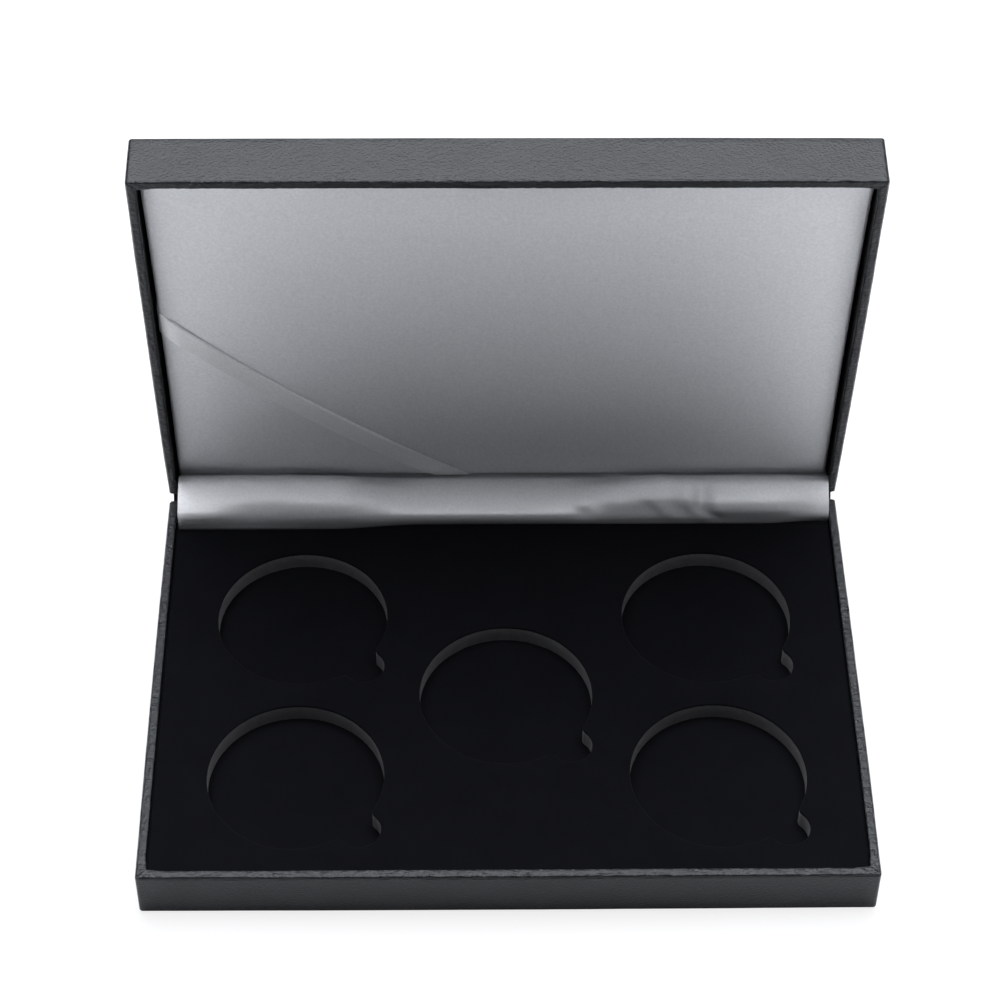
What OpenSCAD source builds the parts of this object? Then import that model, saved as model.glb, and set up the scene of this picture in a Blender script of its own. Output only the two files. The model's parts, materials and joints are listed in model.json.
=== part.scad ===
// Hinged display case for five coins: a tray and a lid of equal size, moulded and
// covered in leatherette, a velvet-faced foam insert, a padded satin panel in the lid,
// and a satin curtain over two spring hinges.
// Millimetres, +Z up, +X right, -Y towards the person who opens it.
// The origin is the middle of the underside, and the lid is drawn open.

/* [Case] */
// Outside width, left to right
case_w = 190; // [182:1:220]
// Outside depth, front to hinge
case_d = 130; // [126:1:160]
// Height of the tray at its rim
base_h = 15.2; // [14.6:0.1:22]
// Height of the lid at its rim
lid_h = 15.2; // [13:0.1:22]
// Gap that the shut lid leaves between the two rims
rim_gap = 0.2; // [0.1:0.05:0.5]
// Angle that the lid opens to
lid_open = 84; // [80:1:90]
// Radius of the upright corners
corner_r = 0.8; // [0.6:0.1:1.2]
// Radius of the lid's two corners beside the hinge
lid_rear_r = 1.3; // [0.6:0.1:2]
// Radius of the corners on the inside of the walls
inner_r = 0.5; // [0.3:0.1:1]

/* [Walls] */
// Thickness of the moulded walls
core_t = 1.4; // [1.2:0.1:1.8]
// Thickness of the leatherette
wrap_t = 0.3; // [0.2:0.05:0.4]
// Width of leatherette turned in over the rim
turn_in = 10; // [9:0.5:12]
// Width of leatherette turned under the tray
turn_under = 12; // [8:1:30]
// Thickness of the sheet glued under the tray
sheet_t = 0.3; // [0.2:0.05:0.6]
// Distance from the tray's edge to that sheet
sheet_inset = 2; // [1:0.5:6]

/* [Coin insert] */
// Diameter of a coin recess
recess_d = 46.5; // [38:0.5:48]
// Distance from the middle recess to the outer ones, across the case
recess_pitch = 55.6; // [53:0.1:60]
// Distance between the front and the rear row
row_pitch = 54.2; // [53:0.1:60]
// Distance from the tray's front wall to the front recesses
front_margin = 8.25; // [5:0.25:9]
// Thickness of the foam that the recesses are cut through
foam_t = 5; // [4:0.1:6]
// Thickness of the velvet on the foam and under it
velvet_t = 0.5; // [0.3:0.05:0.7]
// Distance from the tray's rim down to the velvet
insert_drop = 2; // [1.5:0.1:2.5]
// Gap between the insert and the tray's walls
insert_gap = 0.2; // [0.1:0.05:0.5]
// Distance from the tray's rear wall to the insert, where the hinges sit
hinge_channel = 5; // [4.6:0.1:6]
// Radius of a thumb notch
notch_r = 5.6; // [4:0.1:7]
// Distance from a recess's edge to the middle of its notch
notch_out = 1; // [0:0.1:3]
// Direction of the notches, from the recess's middle
notch_angle = -45; // [-90:5:0]
// Radius where a notch runs into its recess
notch_fillet = 1.8; // [1:0.1:3]

/* [Lid lining] */
// Depth of the satin panel's edge below the lid's rim
panel_depth = 4.4; // [4:0.1:5.5]
// Gap between the panel and the lid's walls
panel_gap = 0.7; // [0.6:0.1:1]
// Gap between the panel and the lid's hinge wall
panel_hinge_gap = 1.4; // [1.3:0.1:2]
// Height that the panel's middle stands above its edge
panel_crown = 1; // [0.4:0.1:1.4]
// Radius of the panel's soft edge
panel_edge_r = 1.2; // [0.8:0.1:1.6]
// Distance that the middle of each side is drawn in
panel_pull = 0.4; // [0.1:0.1:0.5]
// Thickness of the satin
satin_t = 0.3; // [0.2:0.05:0.4]
// Thickness of the soft foam under the satin
pad_t = 2.2; // [1.8:0.1:2.6]
// Thickness of the backing board
board_t = 1.5; // [1.2:0.1:2]
// Distance from the panel's edge in to the backing board
board_inset = 0.8; // [0.75:0.05:1.2]
// Distance from the panel's edge in to the spacer foam
spacer_inset = 3; // [1:0.5:10]
// Width of the ribbon
ribbon_w = 6; // [4:0.5:10]
// Thickness of the ribbon
ribbon_t = 0.3; // [0.2:0.05:0.35]
// Where the ribbon passes the panel's left edge, behind the middle of the case
ribbon_left = -7; // [-20:1:10]
// Where the ribbon passes the panel's hinge edge, from the middle of the case
ribbon_rear = -13; // [-30:1:10]

/* [Hinge] */
// Distance of the hinge axis behind the rear wall
axis_out = 0.8; // [0.8:0.05:1.2]
// Distance of each hinge from the middle of the case
hinge_x = 52; // [30:1:66]
// Width of a hinge
hinge_w = 24; // [20:1:32]
// Height of a leaf down its wall
leaf_h = 8.5; // [8:0.25:9]
// Thickness of the leaf steel
leaf_t = 0.4; // [0.3:0.05:0.4]
// Outside radius of a rolled knuckle
knuckle_r = 0.8; // [0.7:0.05:0.8]
// Radius of the hinge pin
pin_r = 0.4; // [0.3:0.05:0.4]
// Radius of the heads that close the pin
pin_head_r = 0.65; // [0.5:0.05:0.7]
// Clearance between the pin and the knuckles
pin_clear = 0.03; // [0.02:0.01:0.05]
// Width of the lid's knuckle, between the tray's two
knuckle_w = 11.8; // [10:0.2:13]
// Gap between neighbouring knuckles
knuckle_gap = 0.2; // [0.1:0.05:0.5]
// Clearance round the leaves where they pass the rims
notch_clear = 0.1; // [0.05:0.05:0.2]
// Radius of a rivet's shank
rivet_r = 0.8; // [0.6:0.1:1]
// Radius of a rivet's head
rivet_head_r = 1.5; // [1.2:0.1:1.8]
// Thickness of a rivet's head
rivet_head_t = 0.4; // [0.3:0.05:0.5]
// Distance between the two rivets of a leaf
rivet_pitch = 16; // [14:1:17]
// Width of a bow spring
bow_w = 6; // [4:0.5:8]
// Thickness of a bow spring
bow_t = 0.2; // [0.15:0.05:0.25]

/* [Coverings over the hinge] */
// Distance from the case's side to the end of the leatherette spine
spine_inset = 1; // [0.8:0.1:4]
// Height of the spine on each rear wall
spine_h = 10; // [8:0.5:12]
// Radius at which the spine passes the knuckles
spine_r = 1.1; // [1.1:0.05:1.3]
// Thickness of the satin curtain
curtain_t = 0.5; // [0.3:0.05:0.6]
// Gap between the curtain and the side walls
curtain_gap = 1.1; // [0.8:0.1:2]
// Length of curtain tucked down behind the insert
curtain_tail = 5; // [3:0.5:6]
// Height of the curtain's main folds
fold_h = 0.45; // [0.2:0.05:0.6]

/* [Hidden] */
round_fn = 64;
fine_fn = 32;
rivet_fn = 12;
touch = 0.02;
soft_clear = 0.3;
eps = 1;

wall = core_t + 2 * wrap_t;
rear_y = case_d / 2;
inner_x = case_w / 2 - wall;
inner_y = case_d / 2 - wall;
axis_y = rear_y + axis_out;
axis_z = base_h + rim_gap / 2;
lid_rim_z = base_h + rim_gap;
lid_top_z = lid_rim_z + lid_h;
rim_notch = knuckle_r + notch_clear - rim_gap / 2;
base_floor_z = sheet_t + wrap_t;
lid_ceiling_z = lid_top_z - wrap_t - core_t;

insert_top = base_h - insert_drop;
foam_top = insert_top - velvet_t;
foam_bottom = foam_top - foam_t;
floor_bottom = foam_bottom - velvet_t;
insert_rear = inner_y - hinge_channel;
insert_front = -inner_y + insert_gap;
recess_r = recess_d / 2;
front_row = -inner_y + front_margin + recess_r;
rear_row = front_row + row_pitch;
recesses = [[0, (front_row + rear_row) / 2],
    for (sx = [-1, 1], y = [front_row, rear_row]) [sx * recess_pitch, y]];

panel_x = inner_x - panel_gap;
panel_front = -inner_y + panel_gap;
panel_rear = inner_y - panel_hinge_gap;
panel_mid = (panel_front + panel_rear) / 2;
panel_hy = (panel_rear - panel_front) / 2;
panel_z = lid_rim_z + panel_depth;
pad_z = panel_z + satin_t;
board_z = pad_z + pad_t;
panel_back = board_z + board_t;

rivet_margin = 1;
rivet_taper = 0.7;
rivet_drop = leaf_h - rivet_head_r - rivet_margin;
slope_step = 0.02;

// Rounded outline of the case, drawn in by inset
module outline(inset, rear_r) {
    x = case_w / 2 - inset;
    y = case_d / 2 - inset;
    rf = max(corner_r - inset, inner_r);
    rr = max(rear_r - inset, inner_r);
    for (s = [-1, 1]) {
        translate([s * (x - rf), rf - y]) circle(rf, $fn = fine_fn);
        translate([s * (x - rr), y - rr]) circle(rr, $fn = fine_fn);
    }
    polygon([[rf - x, -y], [x - rf, -y], [x, rf - y], [x, y - rr],
        [x - rr, y], [rr - x, y], [-x, y - rr], [-x, rf - y]]);
}

// Slice between two heights of the outline, less the outline drawn in further
module ring(inset, hole, z0, z1, rear_r) {
    translate([0, 0, z0]) linear_extrude(z1 - z0) difference() {
        outline(inset, rear_r);
        if (hole > 0) outline(hole, rear_r);
    }
}

// Notches in the rear rim where the hinges pass
module rim_notches(h) {
    w = hinge_w + 2 * notch_clear;
    for (s = [-1, 1])
        translate([s * hinge_x - w / 2, inner_y - eps, h - rim_notch])
            cube([w, wall + 2 * eps, rim_notch + eps]);
}

// Holes for the rivets, through the turned-in leatherette and the moulding
module rivet_holes(h) {
    for (s = [-1, 1], t = [-1, 1])
        translate([s * hinge_x + t * rivet_pitch / 2, inner_y - eps, h - rivet_drop])
            rotate([-90, 0, 0])
                cylinder(h = wall - wrap_t + eps, r = rivet_r + touch, $fn = rivet_fn);
}

// Moulded tray whose underside lies at bottom
module core_tray(h, bottom, rear_r) {
    difference() {
        union() {
            ring(wrap_t, 0, bottom, bottom + core_t, rear_r);
            ring(wrap_t, wrap_t + core_t, bottom + core_t, h - wrap_t, rear_r);
        }
        rim_notches(h);
        rivet_holes(h);
    }
}

// Leatherette on such a tray: outside, rim, turned-in lip and a margin below
module wrap_skin(h, bottom, rear_r, under) {
    difference() {
        union() {
            ring(0, wrap_t, bottom, h - wrap_t, rear_r);
            ring(0, wall, h - wrap_t, h, rear_r);
            ring(wall - wrap_t, wall, h - turn_in, h - wrap_t, rear_r);
            ring(0, under, bottom - wrap_t, bottom, rear_r);
        }
        rim_notches(h);
        rivet_holes(h);
    }
}

// Tray parts turned over onto the rim, as the lid lies when shut
module shut_lid() {
    translate([0, 0, lid_top_z]) mirror([0, 0, 1]) children();
}

// Parts drawn for the shut lid, swung open about the hinge axis
module opened() {
    translate([0, axis_y, axis_z]) rotate([-lid_open, 0, 0])
        translate([0, -axis_y, -axis_z]) children();
}

// The same swing for a point in the YZ plane
function swung(p) = let (dy = p[0] - axis_y, dz = p[1] - axis_z)
    [axis_y + dy * cos(lid_open) + dz * sin(lid_open),
     axis_z - dy * sin(lid_open) + dz * cos(lid_open)];

// Outline in the YZ plane, carried along X
module along_x(x0, x1) {
    translate([x0, 0, 0]) rotate([90, 0, 90]) linear_extrude(x1 - x0) children();
}

// Point of a cubic curve with four control points
function cubic(p, t) = p[0] * pow(1 - t, 3) + 3 * p[1] * t * pow(1 - t, 2)
    + 3 * p[2] * t * t * (1 - t) + p[3] * pow(t, 3);

// Unit normal of a path at point i
function normal(path, i) = let (a = path[max(i - 1, 0)], b = path[min(i + 1, len(path) - 1)],
    d = b - a) [-d[1], d[0]] / norm(d);

// Outline of a strip of thickness t along a path
function strip(path, t) = let (n = len(path)) concat(
    [for (i = [0 : n - 1]) path[i] + normal(path, i) * t / 2],
    [for (i = [n - 1 : -1 : 0]) path[i] - normal(path, i) * t / 2]);

// Two triangles between four corners
function quad(a, b, c, d) = [[a, b, c], [a, c, d]];

// Closed sheet between two grids of points, each n columns of m points
module sheet_solid(upper, lower, n, m) {
    k = n * m;
    faces = concat(
        [for (i = [0 : n - 2], j = [0 : m - 2])
            each quad(i * m + j, i * m + j + 1, (i + 1) * m + j + 1, (i + 1) * m + j)],
        [for (i = [0 : n - 2], j = [0 : m - 2])
            each quad(k + (i + 1) * m + j, k + (i + 1) * m + j + 1, k + i * m + j + 1, k + i * m + j)],
        [for (i = [0 : n - 2]) each quad(i * m, (i + 1) * m, k + (i + 1) * m, k + i * m)],
        [for (i = [0 : n - 2])
            each quad((i + 1) * m + m - 1, i * m + m - 1, k + i * m + m - 1, k + (i + 1) * m + m - 1)],
        [for (j = [0 : m - 2]) each quad(j + 1, j, k + j, k + j + 1)],
        [for (j = [0 : m - 2])
            each quad(k - m + j, k - m + j + 1, 2 * k - m + j + 1, 2 * k - m + j)]);
    polyhedron(points = concat(upper, lower), faces = faces, convexity = 6);
}

// Solid under one such grid, whose outermost ring lies in a plane
module mound_solid(points, n, m) {
    edge = concat([for (i = [0 : n - 2]) i * m], [for (j = [0 : m - 2]) (n - 1) * m + j],
        [for (i = [n - 1 : -1 : 1]) i * m + m - 1], [for (j = [m - 1 : -1 : 1]) j]);
    faces = concat([for (i = [0 : n - 2], j = [0 : m - 2])
        each quad(i * m + j, (i + 1) * m + j, (i + 1) * m + j + 1, i * m + j + 1)],
        [[for (e = [len(edge) - 1 : -1 : 0]) edge[e]]]);
    polyhedron(points = points, faces = faces, convexity = 4);
}

// Outline of a recess with its thumb notch. The web between the two circles is drawn in
// by a small arc on each side, whose ends lie just inside the circles.
fillet_steps = 8;
module recess_outline() {
    reach = recess_r + notch_out;
    side_r = recess_r + notch_fillet;
    side_n = notch_r + notch_fillet;
    along = (side_r * side_r - side_n * side_n + reach * reach) / (2 * reach);
    off = sqrt(side_r * side_r - along * along);
    first = 180 + atan2(off, along);
    last = 360 - atan2(off, reach - along);
    arc = [for (k = [0 : fillet_steps]) let (a = first + (last - first) * k / fillet_steps,
        r = notch_fillet + (k == 0 || k == fillet_steps ? touch : 0))
        [along + r * cos(a), off + r * sin(a)]];
    circle(recess_r, $fn = round_fn);
    rotate(notch_angle) {
        translate([reach, 0]) circle(notch_r, $fn = round_fn);
        polygon(concat([[0, 0]], [for (q = arc) [q[0], -q[1]]], [[reach, 0]],
            [for (k = [fillet_steps : -1 : 0]) arc[k]]));
    }
}

// Insert's outline between the front and side walls and the hinge channel
module insert_outline(cut) {
    x = inner_x - insert_gap;
    difference() {
        polygon([[-x, insert_front], [x, insert_front], [x, insert_rear], [-x, insert_rear]]);
        if (cut) for (p = recesses) translate(p) recess_outline();
    }
}

module insert_layer(z0, z1, cut) {
    translate([0, 0, z0]) linear_extrude(z1 - z0) insert_outline(cut);
}

module base_shell() {
    color("dimgray") core_tray(base_h, base_floor_z, corner_r);
}

module base_wrap() {
    color([0.1, 0.11, 0.12]) wrap_skin(base_h, base_floor_z, corner_r, turn_under);
}

module underside_sheet() {
    color([0.08, 0.08, 0.08]) ring(sheet_inset, 0, 0, sheet_t, corner_r);
}

module base_spacer() {
    color("gray") insert_layer(base_floor_z + core_t, floor_bottom, false);
}

module recess_floor() {
    color([0.05, 0.05, 0.06]) insert_layer(floor_bottom, foam_bottom, false);
}

module coin_insert() {
    color([0.16, 0.16, 0.17]) insert_layer(foam_bottom, foam_top, true);
}

module insert_velvet() {
    color([0.06, 0.06, 0.07]) insert_layer(foam_top, insert_top, true);
}

// Leaf of one hinge, drawn round the axis in the YZ plane for the tray's side:
// a plate on the wall, and at each knuckle a bend, a web and the rolled eye
module leaf_plate() {
    far = axis_out + wall;
    translate([-far - leaf_t, -leaf_h - rim_gap / 2])
        square([leaf_t, leaf_h + rim_gap / 2 - knuckle_r - notch_clear]);
}

module leaf_knuckle() {
    far = axis_out + wall;
    bend_x = notch_clear - far;
    bend_z = -knuckle_r - notch_clear;
    difference() {
        union() {
            circle(knuckle_r, $fn = fine_fn);
            translate([bend_x, -knuckle_r]) square([-bend_x, leaf_t]);
            intersection() {
                translate([bend_x, bend_z]) circle(notch_clear + leaf_t, $fn = fine_fn);
                translate([-far - leaf_t, bend_z]) square(notch_clear + leaf_t);
            }
        }
        translate([bend_x, bend_z]) circle(notch_clear, $fn = fine_fn);
        circle(pin_r + pin_clear, $fn = fine_fn);
    }
}

// Place and width of the knuckles of the two leaves
tray_knuckle_w = (hinge_w - knuckle_w) / 2 - knuckle_gap;

module leaf_at_axis(lid_side) {
    difference() {
        union() {
            along_x(-hinge_w / 2, hinge_w / 2) leaf_plate();
            if (lid_side)
                along_x(-knuckle_w / 2, knuckle_w / 2) leaf_knuckle();
            else
                for (s = [-1, 1])
                    translate([s * (hinge_w - tray_knuckle_w) / 2, 0, 0])
                        along_x(-tray_knuckle_w / 2, tray_knuckle_w / 2) leaf_knuckle();
        }
        for (t = [-1, 1])
            translate([t * rivet_pitch / 2, -axis_out - wall + eps, -rivet_drop - rim_gap / 2])
                rotate([90, 0, 0])
                    cylinder(h = leaf_t + 2 * eps, r = rivet_r + touch, $fn = rivet_fn);
    }
}

module base_hinge_leaves() {
    color("silver") for (s = [-1, 1])
        translate([s * hinge_x, axis_y, axis_z]) leaf_at_axis(false);
}

module lid_hinge_leaves() {
    color("silver") opened() for (s = [-1, 1])
        translate([s * hinge_x, axis_y, axis_z]) mirror([0, 0, 1]) leaf_at_axis(true);
}

module hinge_pins() {
    color("gainsboro") for (s = [-1, 1])
        translate([s * hinge_x, axis_y, axis_z]) rotate([0, 90, 0]) {
            cylinder(h = hinge_w + 2 * knuckle_gap, r = pin_r, center = true, $fn = fine_fn);
            for (t = [-1, 1])
                translate([0, 0, t * (hinge_w / 2 + knuckle_gap)])
                    cylinder(h = knuckle_gap, r = pin_head_r, center = true, $fn = fine_fn);
        }
}

// Rivets of the tray's leaves: a low head, and a shank that ends under the leatherette
module rivets(h) {
    head_y = inner_y - leaf_t;
    for (s = [-1, 1], t = [-1, 1])
        translate([s * hinge_x + t * rivet_pitch / 2, head_y, h - rivet_drop])
            rotate([-90, 0, 0]) {
                cylinder(h = leaf_t + wall - wrap_t, r = rivet_r, $fn = rivet_fn);
                translate([0, 0, -rivet_head_t])
                    cylinder(h = rivet_head_t, r1 = rivet_head_r * rivet_taper, r2 = rivet_head_r,
                        $fn = rivet_fn);
            }
}

module base_rivets() {
    color("silver") rivets(base_h);
}

module lid_rivets() {
    color("silver") opened() shut_lid() rivets(lid_h);
}

// Bow springs: flat on the tray's leaf, bowed over the joint, flat on the lid's leaf
bow_y = inner_y - leaf_t - bow_t / 2;
bow_free = 3;
bow_grip = 4.5;
bow_tip = 2.4;
bow_pull = [1, 4.5];
bow_steps = 12;
bow_path = let (a = [bow_y, base_h - bow_free], d = [bow_y - soft_clear / 2, lid_rim_z + bow_free],
        curve = [a, a + [-bow_pull[0], bow_pull[1]], swung(d - bow_pull), swung(d)]) concat(
    [a - [0, bow_grip]],
    [for (i = [0 : bow_steps]) cubic(curve, i / bow_steps)],
    [swung(d + [0, bow_tip])]);

module bow_springs() {
    color("lightsteelblue") for (s = [-1, 1])
        along_x(s * hinge_x - bow_w / 2, s * hinge_x + bow_w / 2)
            polygon(strip(bow_path, bow_t));
}

// Leatherette spine: flat on the two rear walls, rounded over the knuckles between them.
// Where it leaves each wall, and its pull points, are in radii of that bend.
spine_clear = 0.06;
spine_lid_y = rear_y + spine_clear + wrap_t / 2;
spine_leave = 2.2;
spine_land = 2.8;
spine_pull = [0.45, 1.2, 1.4];
spine_steps = 16;
spine_path = let (a = [rear_y + wrap_t / 2, base_h - spine_leave * spine_r],
        b = [axis_y + spine_pull[0] * spine_r, axis_z - spine_pull[1] * spine_r],
        c = swung([spine_lid_y, lid_rim_z + spine_pull[2] * spine_r]),
        d = swung([spine_lid_y, lid_rim_z + spine_land * spine_r])) concat(
    [[rear_y + wrap_t / 2, base_h - spine_h]],
    [for (i = [0 : spine_steps]) cubic([a, b, c, d], i / spine_steps)],
    [swung([spine_lid_y, lid_rim_z + spine_h])]);

module spine_strip() {
    x = case_w / 2 - spine_inset;
    color([0.1, 0.11, 0.12]) along_x(-x, x) polygon(strip(spine_path, wrap_t));
}

// Satin curtain: a tail behind the insert, a soft roll over the joint, and folds
curtain_x = inner_x - curtain_gap;
curtain_foot = [insert_rear + soft_clear + curtain_t / 2, insert_top];
head_gap = 0.13;
head_drop = 0.55;
foot_pull = [-2.4, 4.6];
head_pull = [-3.2, -5.05];
curtain_head = [panel_rear + head_gap, panel_z - head_drop];
curtain_curve = [curtain_foot, curtain_foot + foot_pull, swung(curtain_head + head_pull),
    swung(curtain_head)];

function curtain_line(s) = s < 0 ? curtain_foot + [0, s * curtain_tail] : cubic(curtain_curve, s);

// Folds: slanting creases right of the middle and soft waves on the left, each one
// [middle, spread, distance between folds, slant, share of the height]
creases = [46, 13, 9, 7, 1];
waves = [-48, 22, 26, 0, 0.5];

function fold(x, s, f) = f[4] * exp(-pow((x - f[0]) / f[1], 2)) * cos(360 * (x - f[0] + f[3] * s) / f[2]);
function fold_lift(x, s) = s <= 0 ? 0
    : fold_h * sin(180 * s) * (fold(x, s, creases) + fold(x, s, waves));

// Columns of points across the curtain, closer together where the creases are
crease_reach = 21;
curtain_marks = [-curtain_x, creases[0] - crease_reach, creases[0] + crease_reach, curtain_x];
curtain_counts = [22, 21, 5];
curtain_xs = concat([for (k = [0 : 2], i = [0 : curtain_counts[k] - 1])
    curtain_marks[k] + (curtain_marks[k + 1] - curtain_marks[k]) * i / curtain_counts[k]],
    [curtain_x]);
curtain_rows = 12;

function curtain_grid(side) = [for (x = curtain_xs, j = [0 : curtain_rows - 1])
    let (s = j == 0 ? -1 : (j - 1) / (curtain_rows - 2),
        a = curtain_line(max(s - slope_step, -1)), b = curtain_line(min(s + slope_step, 1)),
        n = s < 0 ? [-1, 0] : [-(b - a)[1], (b - a)[0]] / norm(b - a),
        p = curtain_line(s) + n * (side * curtain_t / 2 + fold_lift(x, s)))
    [x, p[0], p[1]]];

module satin_curtain() {
    color([0.7, 0.7, 0.72])
        sheet_solid(curtain_grid(1), curtain_grid(-1), len(curtain_xs), curtain_rows);
}

module lid_shell() {
    color("dimgray") opened() shut_lid() core_tray(lid_h, wrap_t, lid_rear_r);
}

module lid_wrap() {
    color([0.1, 0.11, 0.12]) opened() shut_lid() wrap_skin(lid_h, wrap_t, lid_rear_r, 0);
}

// Box between two heights inside the panel's outline, drawn in by inset
module panel_box(inset, z0, z1) {
    translate([-panel_x + inset, panel_front + inset, z0])
        cube([2 * (panel_x - inset), 2 * (panel_hy - inset), z1 - z0]);
}

module lid_spacer() {
    color("gray") opened() panel_box(spacer_inset, panel_back, lid_ceiling_z);
}

module panel_board() {
    color("burlywood") opened() panel_box(board_inset, board_z, panel_back);
}

// Height of the panel's face, for a cover drawn in by inset: a flat-topped crown that
// rounds off over the edge
edge_round = 0.7;
crown_power = 4;
function edge_drop(d) = d >= panel_edge_r ? 0
    : panel_edge_r - sqrt(panel_edge_r * panel_edge_r - pow(panel_edge_r - max(d, 0), 2));
function face_z(x, y, inset) = let (v = y - panel_mid,
    dx = panel_x - inset - abs(x), dy = panel_hy - inset - abs(v))
    panel_z + inset + edge_round * max(edge_drop(dx), edge_drop(dy))
    - panel_crown * (1 - pow(x / panel_x, crown_power)) * (1 - pow(v / panel_hy, crown_power));

// Grid lines across one half of the panel, close together at its edge
panel_steps = [0, 0, 0.12, 0.4, 0.75, 1];
function half_lines(half, inner) = concat(
    [for (s = panel_steps) half - s * panel_edge_r],
    [for (k = [1 : inner]) (half - panel_edge_r) * (1 - k / (inner + 0.5))]);
function grid_lines(half, inner) = let (h = half_lines(half, inner), n = len(h))
    concat([for (i = [0 : n - 1]) -h[i]], [for (i = [n - 1 : -1 : 0]) h[i]]);

// Points of the panel's cover, in columns along X; the outermost ring is its back edge
panel_inner = [5, 4];
panel_n = 2 * (panel_inner[0] + len(panel_steps));
panel_m = 2 * (panel_inner[1] + len(panel_steps));
function panel_grid(inset, back) =
    let (xs = grid_lines(panel_x - inset, panel_inner[0]), ys = grid_lines(panel_hy - inset, panel_inner[1]))
    [for (i = [0 : panel_n - 1], j = [0 : panel_m - 1])
        let (x = xs[i] * (1 - panel_pull / panel_x * (1 - pow(ys[j] / panel_hy, 2))),
            v = ys[j] * (1 - panel_pull / panel_hy * (1 - pow(xs[i] / panel_x, 2))),
            rim = i == 0 || j == 0 || i == panel_n - 1 || j == panel_m - 1)
        [x, panel_mid + v, rim ? back : face_z(xs[i], panel_mid + ys[j], inset)]];

module panel_satin() {
    color([0.72, 0.72, 0.74]) opened()
        sheet_solid(panel_grid(satin_t, panel_back), panel_grid(0, panel_back), panel_n, panel_m);
}

// Soft foam under the satin: its face follows the cover, its back is flat on the board
module panel_foam() {
    color("whitesmoke") opened()
        mound_solid(panel_grid(satin_t + touch, board_z), panel_n, panel_m);
}

// Ribbon: lies over one corner of the panel and is folded down past its two edges
ribbon_turn = [-42, -30];
ribbon_end = [ribbon_rear, panel_rear];
ribbon_line = [[-panel_x, ribbon_left], ribbon_end + ribbon_turn, ribbon_end];
ribbon_fold = 2.6;
ribbon_over = 0.05;
ribbon_gap = 0.1;
ribbon_inner = 16;
ribbon_rows = 4;

// Middle of the ribbon, which runs straight on past both ends by ribbon_fold
function ribbon_mid(t) = let (u = min(max(t, 0), 1), p = ribbon_line,
    q = p[0] * pow(1 - u, 2) + 2 * p[1] * u * (1 - u) + p[2] * u * u)
    t < 0 ? q + (p[0] - p[1]) / norm(p[1] - p[0]) * ribbon_fold * -t / ribbon_over
    : t > 1 ? q + (p[2] - p[1]) / norm(p[2] - p[1]) * ribbon_fold * (t - 1) / ribbon_over : q;

// Columns of points along it, closer together where it bends over the panel's edges
edge_marks = [for (k = [0 : 4]) panel_pull + (panel_edge_r - panel_pull) * k / 4];
ribbon_ts = let (run_x = 2 * (ribbon_line[1][0] - ribbon_line[0][0]),
        run_y = 2 * (ribbon_line[2][1] - ribbon_line[1][1])) concat(
    [-ribbon_over], [for (e = edge_marks) e / run_x],
    [for (k = [1 : ribbon_inner]) k / (ribbon_inner + 1)],
    [for (k = [4 : -1 : 0]) 1 - edge_marks[k] / run_y], [1 + ribbon_over]);

// A ribbon point past an edge is laid down that edge by as much as it passes it
function ribbon_point(x, y, lift) =
    let (over_x = max(-panel_x + panel_pull - x, 0), over_y = max(y - panel_rear + panel_pull, 0),
        px = max(x, -panel_x + panel_pull), py = min(y, panel_rear - panel_pull))
    [px - (over_x > 0 ? lift : 0), py + (over_y > 0 ? lift : 0),
     face_z(px, py, 0) - (over_x + over_y > 0 ? 0 : lift) + over_x + over_y];

// The columns are slanted so that at each end they lie along the edge that is passed
function ribbon_grid(lift) = [for (t = ribbon_ts, j = [0 : ribbon_rows - 1])
    let (u = min(max(t, 0), 1), a = ribbon_mid(t - slope_step), b = ribbon_mid(t + slope_step),
        d = (b - a) / norm(b - a), w = ribbon_w * (j / (ribbon_rows - 1) - 0.5),
        slant = (1 - u) * d[1] / d[0] - u * d[0] / d[1],
        p = ribbon_mid(t) + ([-d[1], d[0]] + d * slant) * w)
    ribbon_point(p[0], p[1], lift)];

module ribbon() {
    color([0.8, 0.8, 0.82]) opened()
        sheet_solid(ribbon_grid(ribbon_gap), ribbon_grid(ribbon_gap + ribbon_t),
            len(ribbon_ts), ribbon_rows);
}

base_shell();
base_wrap();
underside_sheet();
base_spacer();
recess_floor();
coin_insert();
insert_velvet();
base_hinge_leaves();
hinge_pins();
base_rivets();
bow_springs();
satin_curtain();
spine_strip();
lid_shell();
lid_wrap();
lid_spacer();
panel_board();
panel_foam();
panel_satin();
ribbon();
lid_hinge_leaves();
lid_rivets();
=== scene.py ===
import json
import math
import bpy
import bmesh
import numpy as np
from mathutils import Matrix, Vector, noise
from mathutils.geometry import delaunay_2d_cdt

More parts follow.
